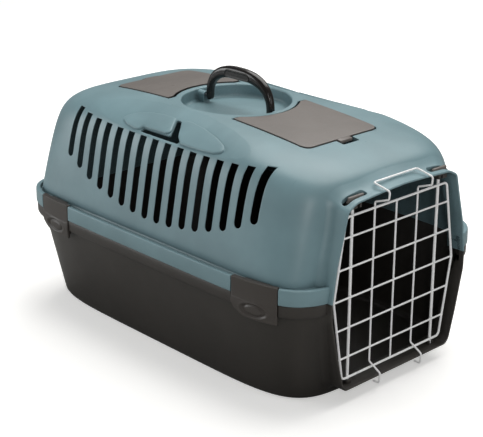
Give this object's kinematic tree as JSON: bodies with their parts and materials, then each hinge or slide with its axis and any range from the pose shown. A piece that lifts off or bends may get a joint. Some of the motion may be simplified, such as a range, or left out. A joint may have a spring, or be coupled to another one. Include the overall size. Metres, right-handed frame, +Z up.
{
  "type": "pet transport carrier",
  "caption": "Two-shell plastic pet carrier with a swinging wire door, side vent slots, folding top handle, storage lids and side clips.",
  "frame": {"origin": "centre of the carrier's width on the floor under the base, 3.5 mm ahead of the flange's middle", "axes": "+Z up; the door faces -Y; X runs across the carrier"},
  "size_m": [0.4, 0.625, 0.38],
  "materials": {
    "shell_plastic": "fine grained teal-grey polypropylene",
    "base_plastic": "fine grained dark brown-grey polypropylene",
    "trim_plastic": "satin brown-grey plastic",
    "clip_plastic": "satin brown-grey plastic",
    "handle_plastic": "near-black satin plastic",
    "grip_rubber": "soft dark rubber",
    "coated_wire": "white coated steel wire",
    "pin_steel": "plain steel pin"
  },
  "bodies": {
    "shells": {"lower_shell": "base_plastic", "upper_shell": "shell_plastic", "clip_pins": "pin_steel"},
    "front_lid": {"front_lid": "trim_plastic"},
    "rear_lid": {"rear_lid": "trim_plastic"},
    "handle": {"carry_handle": "handle_plastic", "handle_grip": "grip_rubber", "handle_pin_front": "pin_steel", "handle_pin_rear": "pin_steel"},
    "clip_front_left": {"clip_front_left": "clip_plastic"},
    "clip_front_right": {"clip_front_right": "clip_plastic"},
    "clip_rear_left": {"clip_rear_left": "clip_plastic"},
    "clip_rear_right": {"clip_rear_right": "clip_plastic"},
    "door": {"door_frame_wire": "coated_wire", "door_cross_wires": "coated_wire", "door_centre_wire": "coated_wire", "door_rod_left": "coated_wire", "door_rod_right": "coated_wire"},
    "bail": {"door_bail": "coated_wire"},
    "catch_left": {"door_catch_left": "trim_plastic"},
    "catch_right": {"door_catch_right": "trim_plastic"}
  },
  "joints": [
    {"name": "door_swing", "type": "hinge", "parent": "shells", "child": "door", "pos_m": [-0.0855, -0.29, 0.1475], "axis": [0, 0, -1], "range_deg": [0, 110]},
    {"name": "bail_lift", "type": "slide", "parent": "door", "child": "bail", "axis": [0, 0, 1], "range_m": [0, 0.004]},
    {"name": "handle_fold", "type": "hinge", "parent": "shells", "child": "handle", "pos_m": [0, 0.01, 0.326], "axis": [0, 1, 0], "range_deg": [-85, 85]},
    {"name": "front_lid_lift", "type": "hinge", "parent": "shells", "child": "front_lid", "pos_m": [0, -0.064, 0.3273], "axis": [-1, 0, 0], "range_deg": [0, 60]},
    {"name": "rear_lid_lift", "type": "hinge", "parent": "shells", "child": "rear_lid", "pos_m": [0, 0.098, 0.3297], "axis": [1, 0, 0], "range_deg": [0, 60]},
    {"name": "clip_front_left_swing", "type": "hinge", "parent": "shells", "child": "clip_front_left", "pos_m": [-0.18364, -0.2213, 0.1715], "axis": [-0.148, 0.989, 0], "range_deg": [0, 65]},
    {"name": "clip_front_right_swing", "type": "hinge", "parent": "shells", "child": "clip_front_right", "pos_m": [0.18364, -0.2213, 0.1715], "axis": [-0.148, -0.989, 0], "range_deg": [0, 65]},
    {"name": "clip_rear_left_swing", "type": "hinge", "parent": "shells", "child": "clip_rear_left", "pos_m": [-0.18624, 0.20415, 0.1715], "axis": [0.0742, 0.9972, 0], "range_deg": [0, 65]},
    {"name": "clip_rear_right_swing", "type": "hinge", "parent": "shells", "child": "clip_rear_right", "pos_m": [0.18624, 0.20415, 0.1715], "axis": [0.0742, -0.9972, 0], "range_deg": [0, 65]},
    {"name": "catch_left_slide", "type": "slide", "parent": "shells", "child": "catch_left", "axis": [-1, 0, 0], "range_m": [0, 0.006]},
    {"name": "catch_right_slide", "type": "slide", "parent": "shells", "child": "catch_right", "axis": [-1, 0, 0], "range_m": [0, 0.006]}
  ]
}
